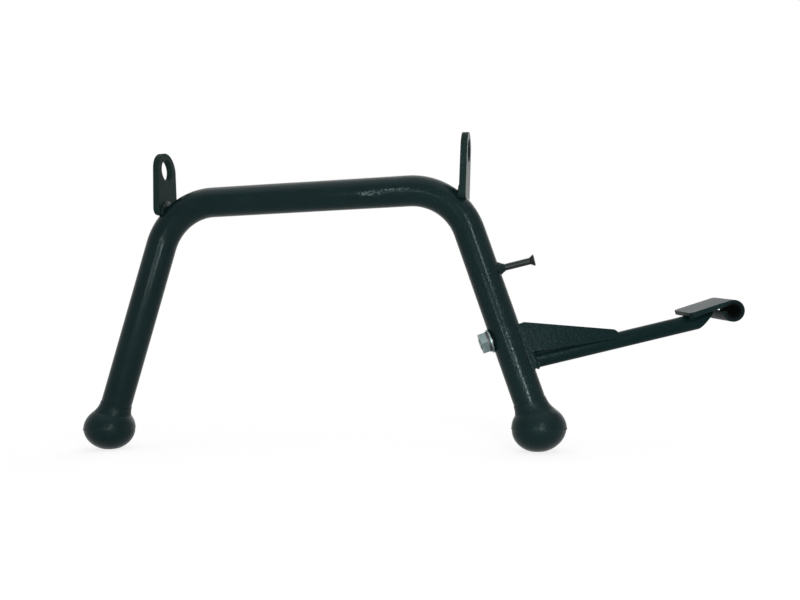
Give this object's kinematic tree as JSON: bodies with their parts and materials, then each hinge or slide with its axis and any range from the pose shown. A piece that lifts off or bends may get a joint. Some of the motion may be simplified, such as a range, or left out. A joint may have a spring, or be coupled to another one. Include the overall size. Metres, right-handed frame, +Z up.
{
  "type": "motorcycle centre stand",
  "caption": "Bent-tube motorcycle centre stand with pivot lugs, pressed round feet, a spring post and a bolted foot lever with a rolled pedal.",
  "frame": {"origin": "middle of the pivot axis, halfway between the two lugs", "axes": "+X along the pivot axis towards the foot lever, +Y to the rear of the machine, +Z up when the machine stands on it"},
  "size_m": [0.6029, 0.0771, 0.2808],
  "materials": {
    "frame_paint": "glossy black paint with a faint blue-green cast, fine grit marks",
    "weld_paint": "the same black paint over rippled weld beads",
    "foot_paint": "glossy black paint on the pressed cups, a little scuffed",
    "sole_steel": "black paint, worn to steel at the flat of the sole",
    "lever_paint": "glossy black paint, rubbed thin on the pedal",
    "bare_steel": "plain steel, hidden inside the leg",
    "zinc_plate": "zinc plating, slightly dull"
  },
  "bodies": {
    "root": {"stand_tube": "frame_paint", "lug_left": "frame_paint", "lug_right": "frame_paint", "lug_weld_left": "weld_paint", "lug_weld_right": "weld_paint", "foot_cup_left": "foot_paint", "foot_cup_right": "foot_paint", "foot_sole_left": "sole_steel", "foot_sole_right": "sole_steel", "foot_seam_left": "weld_paint", "foot_seam_right": "weld_paint", "foot_collar_left": "weld_paint", "foot_collar_right": "weld_paint", "spring_post": "frame_paint", "post_weld": "weld_paint", "bolt_sleeve": "bare_steel", "lever_bracket": "lever_paint", "lever_bar": "lever_paint", "bar_weld": "weld_paint", "pedal_plate": "lever_paint", "pedal_weld_front": "weld_paint", "pedal_weld_rear": "weld_paint", "lever_stud": "zinc_plate", "flat_washer": "zinc_plate", "spring_washer": "zinc_plate", "lever_nut": "zinc_plate"}
  },
  "joints": []
}
